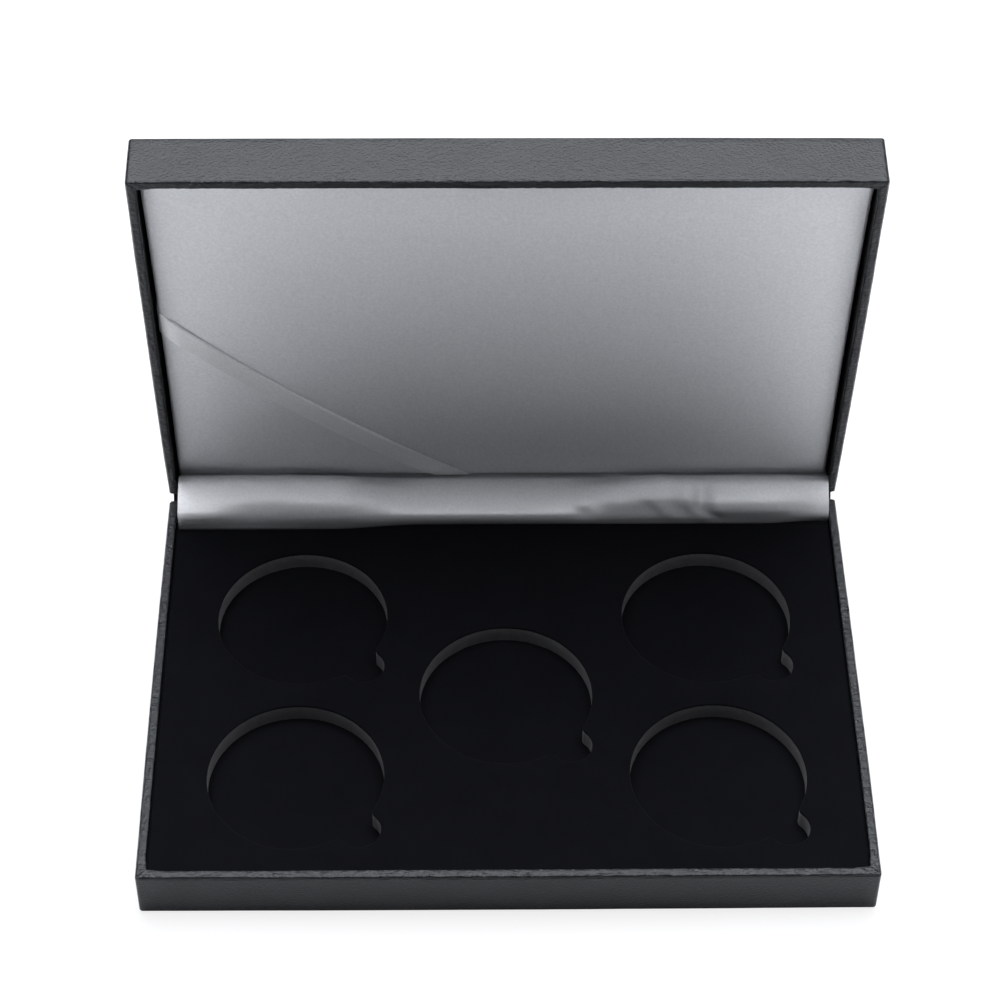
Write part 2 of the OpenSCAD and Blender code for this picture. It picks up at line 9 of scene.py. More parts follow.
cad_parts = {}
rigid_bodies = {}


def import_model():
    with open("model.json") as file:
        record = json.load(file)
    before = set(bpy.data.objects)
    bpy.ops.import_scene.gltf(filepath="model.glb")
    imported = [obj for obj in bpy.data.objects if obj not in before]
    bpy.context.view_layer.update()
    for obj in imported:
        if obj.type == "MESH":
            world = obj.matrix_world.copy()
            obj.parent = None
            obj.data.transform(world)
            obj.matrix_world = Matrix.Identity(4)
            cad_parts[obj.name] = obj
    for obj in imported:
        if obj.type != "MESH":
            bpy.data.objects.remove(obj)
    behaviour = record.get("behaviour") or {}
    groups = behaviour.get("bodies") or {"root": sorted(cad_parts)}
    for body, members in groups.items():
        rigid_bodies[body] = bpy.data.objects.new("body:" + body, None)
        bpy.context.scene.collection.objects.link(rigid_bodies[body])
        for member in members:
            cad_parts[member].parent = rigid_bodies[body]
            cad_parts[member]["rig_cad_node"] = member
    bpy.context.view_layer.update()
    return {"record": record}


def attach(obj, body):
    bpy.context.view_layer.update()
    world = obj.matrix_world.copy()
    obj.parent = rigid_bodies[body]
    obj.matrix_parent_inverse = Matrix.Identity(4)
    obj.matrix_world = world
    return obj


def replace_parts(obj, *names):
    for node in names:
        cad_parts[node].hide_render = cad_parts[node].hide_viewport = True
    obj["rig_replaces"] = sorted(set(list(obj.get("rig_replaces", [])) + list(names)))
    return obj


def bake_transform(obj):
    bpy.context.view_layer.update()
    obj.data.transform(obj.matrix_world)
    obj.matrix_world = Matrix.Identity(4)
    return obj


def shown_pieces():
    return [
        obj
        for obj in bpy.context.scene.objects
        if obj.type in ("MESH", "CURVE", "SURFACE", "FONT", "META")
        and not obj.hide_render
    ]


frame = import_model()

scene = bpy.context.scene
scene.view_settings.view_transform = "Standard"

# Sizes in millimetres, as in the part's source
CASE_W, CASE_D, BASE_H, LID_H = 190.0, 130.0, 15.2, 15.2
RIM_GAP, LID_OPEN = 0.2, 84.0
CORNER_R, LID_REAR_R, INNER_R = 0.8, 0.5, 0.5
CORE_T, WRAP_T, TURN_IN, TURN_UNDER, SHEET_T = 1.4, 0.3, 10.0, 12.0, 0.3
WALL = CORE_T + 2 * WRAP_T
INNER_X, INNER_Y = CASE_W / 2 - WALL, CASE_D / 2 - WALL
AXIS_Y, AXIS_Z = CASE_D / 2 + 0.8, BASE_H + RIM_GAP / 2
LID_RIM_Z = BASE_H + RIM_GAP
LID_TOP_Z = LID_RIM_Z + LID_H
RECESS_R, NOTCH_R, NOTCH_OUT, NOTCH_FILLET, NOTCH_ANGLE = 23.25, 5.6, 1.0, 1.8, -45.0
FLOOR_Z, FOAM_BOTTOM, FOAM_TOP, VELVET_TOP = 7.2, 7.7, 12.7, 13.2
INSERT_X, INSERT_FRONT, INSERT_REAR = INNER_X - 0.2, -INNER_Y + 0.2, INNER_Y - 5.0
RECESSES = [(0.0, -4.4), (-55.6, -31.5), (-55.6, 22.7), (55.6, -31.5), (55.6, 22.7)]
PANEL_X, PANEL_FRONT, PANEL_REAR = INNER_X - 0.7, -INNER_Y + 0.7, INNER_Y - 1.4
PANEL_MID, PANEL_HY = (PANEL_FRONT + PANEL_REAR) / 2, (PANEL_REAR - PANEL_FRONT) / 2
PANEL_Z, PANEL_BACK = LID_RIM_Z + 4.4, LID_RIM_Z + 4.4 + 4.0
HINGE_X, HINGE_W, RIM_NOTCH = 52.0, 24.0, 0.8


def swing(points, angle=-LID_OPEN):
    """Points of the shut lid, swung open about the hinge axis."""
    a = math.radians(angle)
    p = np.array(points, float).reshape(-1, 3)
    y, z = p[:, 1] - AXIS_Y, p[:, 2] - AXIS_Z
    p[:, 1] = AXIS_Y + y * math.cos(a) - z * math.sin(a)
    p[:, 2] = AXIS_Z + y * math.sin(a) + z * math.cos(a)
    return p


def rough(x, y=0.0, z=0.0, size=1.0, seed=0.0):
    """Smooth noise from -1 to 1 whose features are about size millimetres wide."""
    return noise.noise(Vector((x / size + seed, y / size - seed, z / size + 7.3)))


def ramp(x, a, b):
    """Smooth step from 0 at a to 1 at b."""
    t = min(max((x - a) / (b - a), 0.0), 1.0)
    return t * t * (3 - 2 * t)


def build(name, points, faces, smooth=True, sharp=None):
    """Mesh object from points in millimetres."""
    mesh = bpy.data.meshes.new(name)
    mesh.from_pydata([tuple(v) for v in np.array(points, float) * 0.001], [], faces)
    bm = bmesh.new()
    bm.from_mesh(mesh)
    bmesh.ops.recalc_face_normals(bm, faces=bm.faces)
    bm.to_mesh(mesh)
    bm.free()
    mesh.shade_smooth() if smooth else mesh.shade_flat()
    if sharp is not None:
        mesh.set_sharp_from_angle(angle=math.radians(sharp))
    piece = bpy.data.objects.new(name, mesh)
    scene.collection.objects.link(piece)
    return piece


def grid_faces(n, m, start=0, wrap_n=False, wrap_m=False):
    """Four-cornered faces of n columns of m points."""
    out = []
    for i in range(n if wrap_n else n - 1):
        for j in range(m if wrap_m else m - 1):
            i2, j2 = (i + 1) % n, (j + 1) % m
            out.append((start + i * m + j, start + i2 * m + j, start + i2 * m + j2, start + i * m + j2))
    return out


def grid_border(n, m):
    """Numbers of the points round the edge of a grid of n columns of m points."""
    border = [i * m for i in range(n)] + [(n - 1) * m + j for j in range(1, m)]
    return border + [i * m + m - 1 for i in range(n - 2, -1, -1)] + [j for j in range(m - 2, 0, -1)]


def sheet_mesh(name, upper, lower, sharp=None):
    """Closed sheet between two grids, each an array of n columns of m points."""
    n, m = upper.shape[:2]
    k = n * m
    faces = grid_faces(n, m)
    faces += [tuple(k + v for v in reversed(f)) for f in grid_faces(n, m)]
    border = grid_border(n, m)
    for a, b in zip(border, border[1:] + border[:1]):
        faces.append((b, a, k + a, k + b))
    points = np.concatenate([upper.reshape(-1, 3), lower.reshape(-1, 3)])
    return build(name, points, faces, sharp=sharp)


def swung_grid(grid):
    """A grid of the shut lid, swung open."""
    return swing(grid).reshape(grid.shape)


# Leatherette over the tray and the lid

LOWER_R, CORE_DROP, LID_UNDER = 0.4, 0.8, 4.0
# The rim's flat top as insets, then its rounded outer edge and the faint seam under it as (inset, depth)
RIM_FLAT = (1.45, 1.25, 1.05, 0.85, 0.7, 0.6)
RIM_TURN = ((0.46, 0.1), (0.34, 0.22), (0.22, 0.36), (0.1, 0.52))
SEAM = ((0.02, 0.68), (0.06, 0.8), (0.0, 0.92), (0.0, 1.2))
# How far the leatherette strays: long and short waves of its walls, swell of the walls, rear pull
LONG_WAVE, SHORT_WAVE, REAR_PULL = 0.09, 0.03, 0.1
SWELL_END, SWELL_MIDDLE = 0.1, 0.2
# On the rim: crumples, wave, fold at the corners, waves of the outer edge, highest rise
CRUMPLE, RIM_WAVE, CORNER_DIP, EDGE_WAVE, MAX_RISE = 0.12, 0.10, 0.16, 0.16, 0.09
GATHER, GATHER_REACH = 0.45, 8.0


def outline(inset, rear_r, long_n=300, short_n=200, arc_n=6):
    """Points and outward normals round the case, drawn in by inset: always as many."""
    x, y = CASE_W / 2 - inset, CASE_D / 2 - inset
    rf, rr = max(CORNER_R - inset, INNER_R), max(rear_r - inset, INNER_R)
    sides = [((-x + rf, -y), (x - rf, -y), long_n), ((x, -y + rf), (x, y - rr), short_n),
             ((x - rr, y), (-x + rr, y), long_n), ((-x, y - rr), (-x, -y + rf), short_n)]
    corners = [(x - rf, -y + rf, rf), (x - rr, y - rr, rr), (-x + rr, y - rr, rr), (-x + rf, -y + rf, rf)]
    points, normals = [], []
    for k in range(4):
        (ax, ay), (bx, by), n = sides[k]
        turn = math.radians(90 * k - 90)
        for i in range(n):
            t = i / (n - 1)
            points.append((ax + (bx - ax) * t, ay + (by - ay) * t))
            normals.append((math.cos(turn), math.sin(turn)))
        cx, cy, r = corners[k]
        for i in range(1, arc_n):
            a = turn + math.radians(90 * i / arc_n)
            points.append((cx + r * math.cos(a), cy + r * math.sin(a)))
            normals.append((math.cos(a), math.sin(a)))
    return np.array(points), np.array(normals)


def corner_arc(inset, z, r, start, end, steps=4):
    """Profile points round an edge whose arc has its middle at (inset, z)."""
    out = []
    for i in range(steps + 1):
        a = math.radians(start + (end - start) * i / steps)
        out.append((inset - r * math.cos(a), z + r * math.sin(a)))
    return out


def leather_profile(bottom, full):
    """Section of the leatherette as (inset, height, play), and where its hidden face starts."""
    h = BASE_H
    lip = [(WALL, v, 0.3) for v in (h - TURN_IN, h - 6.0, h - 2.3)] + [(WALL + 0.2, h - 1.5, 0.6)]
    inner_top = [(a, b, 0.8) for a, b in corner_arc(WALL - 0.1, h - 0.4, 0.4, 180, 100)]
    roll = [(a, h - 0.11 + 0.06 * a, 1.0) for a in RIM_FLAT]
    roll += [(a, h - down, 1.0) for a, down in RIM_TURN + SEAM]
    outer = [(0.0, v, 1.0) for v in np.linspace(h - 1.6, bottom + LOWER_R, 9)]
    lower = [(a, b, 0.6) for a, b in corner_arc(LOWER_R, bottom + LOWER_R, LOWER_R, 0, -90)][1:]
    under = LID_UNDER if full else TURN_UNDER
    profile = lip + inner_top + roll + outer + lower + [(under, bottom, 0.0)]
    hidden = [(under, bottom + WRAP_T, 0.0), (WRAP_T, bottom + WRAP_T, 0.0), (WRAP_T, h - CORE_DROP, 0.0),
              (WALL - WRAP_T, h - CORE_DROP, 0.0), (WALL - WRAP_T, h - TURN_IN, 0.0)]
    return profile + hidden, len(profile)


def stray(spot, normal, inset, play, full, seed):
    """Moves one point of the leatherette as real covering strays from the exact section."""
    x, y, z = spot
    h = BASE_H
    slack = LONG_WAVE * rough(x, y, z, 26, seed) + SHORT_WAVE * rough(x, y, z, 5, seed + 3)
    if normal[1] > 0.5:
        slack = -abs(slack) - REAR_PULL
    along = x / CASE_W * 2 if abs(normal[1]) > abs(normal[0]) else y / CASE_D * 2
    facing = normal[0] ** 2 + min(normal[1], 0.0) ** 2
    swell = (SWELL_END + SWELL_MIDDLE * (1 - along ** 2)) * facing * ramp(inset, 1.4, 0.6)
    spot[:2] += normal * (slack * play + swell)
    if z > h - 1.3:
        crumple = CRUMPLE * rough(x, y, inset * 3, 1.4, seed + 9) + RIM_WAVE * rough(x, y, 0, 10, seed + 5)
        spot[2] = min(spot[2] + (crumple - 0.06) * ramp(z, h - 0.9, h - 0.3), h + MAX_RISE)
        corner = abs(abs(normal[0]) - abs(normal[1])) < 0.1
        spot[2] -= CORNER_DIP * corner * ramp(z, h - 0.5, h - 0.1)
        edge = (0.4 if full else 1.0) * (EDGE_WAVE * rough(x, y, 0, 1.9, seed + 21)
                                         + EDGE_WAVE * rough(x, y, 0, 6, seed + 25))
        spot[2] -= edge * ramp(z, h - 0.95, h - 0.7) * ramp(z, h - 0.1, h - 0.4)
    gather = ramp(z, h - 3.5, h - 1.0) * ramp(inset, 1.2, WALL)
    if gather:
        near = ramp(math.hypot(CASE_W / 2 - abs(x), CASE_D / 2 - abs(y)), GATHER_REACH, 3.0)
        spot[:2] -= normal * GATHER * near * gather


def leather_shell(bottom, rear_r, full, seed):
    """Leatherette on a tray with its rim up; full covers the whole underside."""
    profile, hidden = leather_profile(bottom, full)
    rings = []
    for inset, z, play in profile:
        points, normals = outline(inset, rear_r)
        ring = np.column_stack([points, np.full(len(points), z)])
        if play:
            for spot, normal in zip(ring, normals):
                stray(spot, normal, inset, play, full, seed)
        rings.append(ring)
    n, m = len(rings), len(rings[0])
    faces = grid_faces(n, m, wrap_n=True, wrap_m=True)
    if full:
        faces = [f for f in faces if f[0] // m != hidden - 1]
        faces += [tuple((hidden - 1) * m + i for i in range(m)), tuple(hidden * m + i for i in range(m))]
    return np.concatenate(rings), faces


def cut_notches(piece, top):
    """Opens the rear rim where the hinges pass."""
    for s in (-1, 1):
        bm = bmesh.new()
        bmesh.ops.create_cube(bm, size=1)
        size = Vector((HINGE_W + 0.2, WALL + 2, 2 * RIM_NOTCH)) * 0.001
        place = Vector((s * HINGE_X, CASE_D / 2 - WALL / 2, top)) * 0.001
        bmesh.ops.transform(bm, matrix=Matrix.Translation(place) @ Matrix.Diagonal((*size, 1)), verts=bm.verts)
        mesh = bpy.data.meshes.new("cutter")
        bm.to_mesh(mesh)
        bm.free()
        cutter = bpy.data.objects.new("cutter", mesh)
        scene.collection.objects.link(cutter)
        mod = piece.modifiers.new("cut", "BOOLEAN")
        mod.operation, mod.solver, mod.object = "DIFFERENCE", "EXACT", cutter
        bake(piece)
        bpy.data.objects.remove(cutter)


def bake(piece):
    """Applies a piece's modifiers to its mesh."""
    graph = bpy.context.evaluated_depsgraph_get()
    mesh = bpy.data.meshes.new_from_object(piece.evaluated_get(graph))
    piece.modifiers.clear()
    old, piece.data = piece.data, mesh
    bpy.data.meshes.remove(old)


def mark_rim(piece, top):
    """Where the leather turns over the rim, its grain is crumpled."""
    marks = piece.data.attributes.new("rim", "FLOAT", "POINT")
    for v, mark in zip(piece.data.vertices, marks.data):
        mark.value = ramp(v.co.z * 1000, top - 0.8, top - 0.4)


points, faces = leather_shell(SHEET_T, CORNER_R, False, 2.0)
base_leather = build("base_leather", points, faces, sharp=50)
cut_notches(base_leather, BASE_H)
mark_rim(base_leather, BASE_H)
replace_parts(base_leather, "base_wrap")
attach(base_leather, "base")

points, faces = leather_shell(0.0, LID_REAR_R, True, 31.0)
lid_leather = build("lid_leather", points, faces, sharp=50)
cut_notches(lid_leather, LID_H)
mark_rim(lid_leather, LID_H)
co = np.array([v.co for v in lid_leather.data.vertices]) * 1000
co[:, 2] = LID_TOP_Z - co[:, 2]
co = swing(co)
for v, p in zip(lid_leather.data.vertices, co):
    v.co = Vector(p) * 0.001
lid_leather.data.flip_normals()
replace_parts(lid_leather, "lid_wrap")
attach(lid_leather, "lid")


# Insert: foam slab, velvet face and velvet floor

NOTCH_MID = round((RECESS_R + NOTCH_OUT) * math.cos(math.radians(NOTCH_ANGLE)), 2)
NOTCH_REACH, CLEAR = 8, 1.5


def recess_loop(grow, n=104):
    """Closed outline of a recess with its thumb notch about the recess's middle, grown by grow."""
    big, small = RECESS_R + grow, NOTCH_R + grow
    fillet = NOTCH_FILLET - grow
    reach = RECESS_R + NOTCH_OUT
    side_r, side_n = RECESS_R + NOTCH_FILLET, NOTCH_R + NOTCH_FILLET
    along = (side_r ** 2 - side_n ** 2 + reach ** 2) / (2 * reach)
    off = math.sqrt(side_r ** 2 - along ** 2)
    at_big, at_small = math.atan2(off, along), math.atan2(off, along - reach)
    loop = []
    for k in range(n):
        a = at_big + (2 * math.pi - 2 * at_big) * k / (n - 1)
        loop.append((big * math.cos(a), big * math.sin(a)))

    def fillet_arc(sign):
        first = math.pi + at_big
        last = math.atan2(-off, reach - along) + 2 * math.pi
        arc = []
        for k in range(1, 7):
            a = first + (last - first) * k / 7
            arc.append((along + fillet * math.cos(a), sign * (off + fillet * math.sin(a))))
        return arc

    loop += fillet_arc(-1)
    for k in range(25):
        a = -at_small + 2 * at_small * k / 24
        loop.append((reach + small * math.cos(a), small * math.sin(a)))
    loop += fillet_arc(1)[::-1]
    c, s = math.cos(math.radians(NOTCH_ANGLE)), math.sin(math.radians(NOTCH_ANGLE))
    return [(x * c - y * s, x * s + y * c) for x, y in loop]


def insert_border(inset, nx=60, ny=40):
    """Outline of the insert, drawn in by inset."""
    x, y0, y1 = INSERT_X - inset, INSERT_FRONT + inset, INSERT_REAR - inset
    out = [(-x + 2 * x * i / nx, y0) for i in range(nx)] + [(x, y0 + (y1 - y0) * i / ny) for i in range(ny)]
    out += [(x - 2 * x * i / nx, y1) for i in range(nx)]
    return out + [(-x, y1 - (y1 - y0) * i / ny) for i in range(ny)]


def inside(p, loop):
    """Whether a point lies in a closed outline."""
    x, y = p
    odd = False
    for (ax, ay), (bx, by) in zip(loop, loop[1:] + loop[:1]):
        if (ay > y) != (by > y) and x < ax + (y - ay) * (bx - ax) / (by - ay):
            odd = not odd
    return odd


def in_recess(x, y, grow):
    """Whether a point lies in a recess or its notch, grown by grow."""
    for cx, cy in RECESSES:
        far = math.hypot(x - cx, y - cy)
        if far < RECESS_R - 0.02:
            return True
        if far < RECESS_R + NOTCH_REACH and inside((x - cx, y - cy), recess_loop(grow)):
            return True
    return False


def face_points(step):
    """Points spread over the insert's face, clear of its edges."""
    out = []
    for i in range(int(2 * INSERT_X / step)):
        for j in range(int((INSERT_REAR - INSERT_FRONT) / step)):
            x, y = -INSERT_X + step * (i + 0.5), INSERT_FRONT + step * (j + 0.5)
            reach = min(min(math.hypot(x - cx, y - cy) for cx, cy in RECESSES) - RECESS_R, 9)
            tip = min(math.hypot(x - cx - NOTCH_MID, y - cy + NOTCH_MID) for cx, cy in RECESSES) - NOTCH_R
            on_slab = abs(x) < INSERT_X - CLEAR and INSERT_FRONT + CLEAR < y < INSERT_REAR - CLEAR
            if min(reach, tip) > CLEAR and on_slab:
                out.append((x, y))
    return out


def slab(name, z0, z1, lip, wave, seed, step=4.0):
    """Plate between two heights with the five recesses, its upper edges rounded by lip."""
    walls = [(0.0, z0), (0.0, z0 + (z1 - lip - z0) * 0.5), (0.0, z1 - lip)]
    for a in (30, 60, 90):
        walls.append((lip * (1 - math.cos(math.radians(a))), z1 - lip + lip * math.sin(math.radians(a))))
    points, faces = [], []
    tops, lows = [], []

    def add_walls(loop_of):
        first = len(points)
        m = len(loop_of(0.0))
        for inset, z in walls:
            for x, y in loop_of(inset):
                shake = wave * rough(x, y, z, 2.4, seed)
                points.append((x + shake, y + shake * 0.6, z))
        faces.extend(grid_faces(len(walls), m, first, wrap_m=True))
        lows.append([first + i for i in range(m)])
        tops.append([first + (len(walls) - 1) * m + i for i in range(m)])

    def add_face(loops, level, extra, grow):
        index = [i for loop in loops for i in loop]
        flat = [points[i] for i in index]
        edges, start = [], 0
        for loop in loops:
            edges += [(start + k, start + (k + 1) % len(loop)) for k in range(len(loop))]
            start += len(loop)
        every = [Vector(p[:2]) for p in flat] + [Vector(p) for p in extra]
        out_v, _, out_f, orig_v, _, _ = delaunay_2d_cdt(every, edges, [], 0, 1e-6)
        where = {}
        for k, v in enumerate(out_v):
            known = [o for o in orig_v[k] if o < len(flat)]
            if known:
                where[k] = index[known[0]]
            else:
                where[k] = len(points)
                points.append((v.x, v.y, level + wave * 2 * rough(v.x, v.y, 0, 14, seed + 1)))
        for f in out_f:
            mid = sum((out_v[k] for k in f), Vector((0, 0))) / len(f)
            if not in_recess(mid.x, mid.y, grow):
                faces.append(tuple(where[k] for k in f))

    for cx, cy in RECESSES:
        add_walls(lambda g, cx=cx, cy=cy: [(cx + x, cy + y) for x, y in recess_loop(g)])
    add_walls(insert_border)
    add_face(tops, z1, face_points(step), lip)
    add_face(lows, z0, [], 0.0)
    return build(name, points, faces, sharp=50)


foam_insert = slab("foam_insert", FOAM_BOTTOM, FOAM_TOP, 0.15, 0.04, 4.0, step=12.0)
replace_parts(foam_insert, "coin_insert")
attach(foam_insert, "base")
velvet_face = slab("velvet_face", FOAM_TOP, VELVET_TOP, 0.35, 0.03, 8.0)
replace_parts(velvet_face, "insert_velvet")
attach(velvet_face, "base")


def soft_block(name, x, y0, y1, z0, z1, r, wave, seed, nx=40, ny=28, lid=False):
    """Block of cloth or foam with soft upright and level edges."""
    def lines(lo, hi, n):
        inner = np.linspace(lo + r, hi - r, n)
        arc = [r * (1 - math.cos(math.radians(a))) for a in (0, 30, 60)]
        return np.concatenate([[lo + v for v in arc], inner, [hi - v for v in reversed(arc)]])

    xs, ys = lines(-x, x, nx), lines(y0, y1, ny)

    def drop(v, lo, hi):
        d = min(v - lo, hi - v)
        return 0.0 if d >= r else r - math.sqrt(max(r * r - (r - d) ** 2, 0.0))

    upper, lower = np.zeros((len(xs), len(ys), 3)), np.zeros((len(xs), len(ys), 3))
    for i, px in enumerate(xs):
        for j, py in enumerate(ys):
            fall = min(max(drop(px, -x, x), drop(py, y0, y1)), (z1 - z0) * 0.45)
            lift = wave * rough(px, py, 0, 12, seed)
            upper[i, j] = (px, py, z1 - fall + lift * (fall == 0))
            lower[i, j] = (px, py, z0 + fall)
    if lid:
        upper, lower = swung_grid(upper), swung_grid(lower)
    return sheet_mesh(name, upper, lower, sharp=60)


velvet_floor = soft_block("velvet_floor", INSERT_X, INSERT_FRONT, INSERT_REAR, FLOOR_Z, FOAM_BOTTOM,
                          0.2, -0.03, 5.0)
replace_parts(velvet_floor, "recess_floor")
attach(velvet_floor, "base")
base_foam = soft_block("base_foam", INSERT_X, INSERT_FRONT, INSERT_REAR, 2.0, FLOOR_Z, 0.4, -0.02, 6.0)
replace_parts(base_foam, "base_spacer")
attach(base_foam, "base")
lid_foam = soft_block("lid_foam", PANEL_X - 3, PANEL_FRONT + 3, PANEL_REAR - 3, PANEL_BACK, LID_TOP_Z - 1.7,
                      0.4, -0.02, 7.0, lid=True)
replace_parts(lid_foam, "lid_spacer")
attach(lid_foam, "lid")


# Padded satin panel

EDGE_R, CROWN, PULL, SATIN_T, PAD_T = 1.2, 1.0, 0.4, 0.3, 2.5
RIDGE, RIDGE_REACH, PUCKER_REACH = 1.6, 13, 12


def edge_drop(d, r=EDGE_R):
    """How far a rounded edge of radius r falls at distance d from its border."""
    return 0.0 if d >= r else r - math.sqrt(max(r * r - (r - max(d, 0.0)) ** 2, 0.0))


def panel_face(x, y, inset=0.0):
    """Height of the panel's face, in the frame of the shut lid."""
    v = y - PANEL_MID
    dx, dy = PANEL_X - inset - abs(x), PANEL_HY - inset - abs(v)
    pucker = 0.0
    near = min(dx, dy)
    if near < PUCKER_REACH:
        run = x if dy < dx else y
        pucker = 0.05 * math.exp(-near / 5) * rough(run, 3 if dy < dx else 9, 0, 6, 12)
    soft = ramp(x, -70, -10) * (0.75 + 0.25 * rough(x, 0, 0, 25, 40))
    ridge = RIDGE * soft * max(1 - (y - PANEL_FRONT) / RIDGE_REACH, 0.0) ** 2
    edge = 0.7 * max(edge_drop(dx), edge_drop(dy))
    return (PANEL_Z + inset + edge + pucker + 0.05 * rough(x, y, 0, 40, 3) - ridge
            - CROWN * (1 - (x / PANEL_X) ** 4) * (1 - (v / PANEL_HY) ** 4))


def panel_lines(half, n):
    """Places of grid lines from -half to half, close together at the edges."""
    edge = [half - s * EDGE_R for s in (0, 0, 0, 0.04, 0.14, 0.3, 0.5, 0.75, 1)]
    inner = [(half - EDGE_R) * (1 - k / (n + 0.5)) for k in range(1, n + 1)]
    h = edge + inner
    return np.array([-v for v in h] + h[::-1])


def panel_grid(inset, back, nx=44, ny=30):
    """The panel's face, turned back over its edges to the height back, its sides pulled in a little."""
    xs, ys = panel_lines(PANEL_X - inset, nx), panel_lines(PANEL_HY - inset, ny)
    out = np.zeros((len(xs), len(ys), 3))
    last_x, last_y = len(xs) - 1, len(ys) - 1
    for i, gx in enumerate(xs):
        for j, gy in enumerate(ys):
            x = gx * (1 - PULL / PANEL_X * (1 - (gy / PANEL_HY) ** 2))
            v = gy * (1 - PULL / PANEL_HY * (1 - (gx / PANEL_X) ** 2))
            z = panel_face(gx, PANEL_MID + gy, inset)
            ring = min(i, j, last_x - i, last_y - j)
            if ring < 2:
                z = back if ring == 0 else z + (back - z) * 0.4
            out[i, j] = (x, PANEL_MID + v, z)
    return out


satin_panel = sheet_mesh("satin_panel", swung_grid(panel_grid(0.0, PANEL_BACK)),
                         swung_grid(panel_grid(SATIN_T, PANEL_BACK)), sharp=70)
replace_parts(satin_panel, "panel_satin")
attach(satin_panel, "lid")


pad_face = swung_grid(panel_grid(SATIN_T + 0.04, PANEL_Z + PAD_T, 20, 14))
n, m = pad_face.shape[:2]
panel_pad = build("panel_pad", pad_face.reshape(-1, 3), grid_faces(n, m) + [tuple(grid_border(n, m))], sharp=60)
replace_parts(panel_pad, "panel_foam")
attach(panel_pad, "lid")


# Ribbon across the panel's corner

RIBBON_W, RIBBON_T, RIBBON_FOLD, RIBBON_GAP = 5.8, 0.2, 2.6, 0.06
# How far the ribbon stands off the panel, at shares of its width from the upper edge to the lower
RIBBON_STAND = ((-0.5, 0.02), (-0.49, 0.06), (-0.465, 0.19), (-0.44, 0.32), (-0.42, 0.37), (-0.38, 0.37),
                (-0.25, 0.41), (0.0, 0.55), (0.2, 0.68), (0.35, 0.78), (0.44, 0.84), (0.48, 0.86), (0.5, 0.86))
RIBBON_LINE = np.array([(-PANEL_X, -7.0), (-55.0, PANEL_REAR - 30), (-13.0, PANEL_REAR)])


def ribbon_mid(t):
    """Middle of the ribbon at share t, carried on straight past both ends."""
    u = min(max(t, 0.0), 1.0)
    p = RIBBON_LINE
    q = p[0] * (1 - u) ** 2 + 2 * p[1] * u * (1 - u) + p[2] * u * u
    if t < 0:
        q = q + (p[0] - p[1]) / np.linalg.norm(p[1] - p[0]) * RIBBON_FOLD * -t / 0.05
    if t > 1:
        q = q + (p[2] - p[1]) / np.linalg.norm(p[2] - p[1]) * RIBBON_FOLD * (t - 1) / 0.05
    return q


def ribbon_grid(lift):
    """One face of the ribbon: it stands off the panel by lift and folds over its edges."""
    run_x, run_y = 2 * (RIBBON_LINE[1, 0] - RIBBON_LINE[0, 0]), 2 * (RIBBON_LINE[2, 1] - RIBBON_LINE[1, 1])
    marks = np.linspace(PULL, EDGE_R + 0.2, 6)
    ts = [-0.05, -0.03, -0.012, 0.0] + [e / run_x for e in marks] + list(np.linspace(0.035, 0.955, 60))
    ts += [1 - e / run_y for e in marks[::-1]] + [1.0, 1.012, 1.03, 1.05]
    out = np.zeros((len(ts), len(RIBBON_STAND), 3))
    for i, t in enumerate(ts):
        d = ribbon_mid(t + 0.02) - ribbon_mid(t - 0.02)
        d = d / np.linalg.norm(d)
        u = min(max(t, 0.0), 1.0)
        slant = (1 - u) * d[1] / d[0] - u * d[0] / d[1]
        free = min(5 * math.sin(math.pi * u), 1.0)
        for j, (s, high) in enumerate(RIBBON_STAND):
            p = ribbon_mid(t) + (np.array((-d[1], d[0])) + d * slant) * RIBBON_W * s
            over_x = max(-PANEL_X + PULL - p[0], 0.0)
            over_y = max(p[1] - PANEL_REAR + PULL, 0.0)
            px, py = max(p[0], -PANEL_X + PULL), min(p[1], PANEL_REAR - PULL)
            bow = lift + free * (high + 0.03 * rough(t * 80, s * 6, 0, 7, 50))
            z = panel_face(px, py) - (0.0 if over_x + over_y > 0 else bow) + over_x + over_y
            out[i, j] = (px - (lift if over_x > 0 else 0), py + (lift if over_y > 0 else 0), z)
    return out


ribbon_piece = sheet_mesh("satin_ribbon", swung_grid(ribbon_grid(RIBBON_GAP + RIBBON_T)),
                          swung_grid(ribbon_grid(RIBBON_GAP)), sharp=70)
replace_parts(ribbon_piece, "ribbon")
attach(ribbon_piece, "lid")


# Satin curtain, leatherette spine and bow springs across the joint


def swung(y, z):
    """A point of the shut lid in the YZ plane, swung open."""
    return swing([(0, y, z)])[0][1:]


def cubic(p, t):
    """Bezier curve through p[0] and p[3]."""
    return p[0] * (1 - t) ** 3 + 3 * p[1] * t * (1 - t) ** 2 + 3 * p[2] * t * t * (1 - t) + p[3] * t ** 3


def bump_at(x, mid, spread):
    """Soft bump of height 1."""
    return math.exp(-((x - mid) / spread) ** 2)


# The curtain goes down behind the insert at its foot, and behind the panel at its head
CURTAIN_L, CURTAIN_R, CURTAIN_T, CURTAIN_COLUMNS, CURTAIN_STEPS = -INNER_X + 1.1, INNER_X - 0.4, 0.35, 320, 60
FOOT = np.array((INSERT_REAR + 0.3 + CURTAIN_T / 2, VELVET_TOP))
HEAD_SHUT = np.array((PANEL_REAR + 0.42, PANEL_Z - 0.55))
HEAD = swung(*HEAD_SHUT)
HEAD_TAIL, FOOT_TAIL = 2.6, 4.0

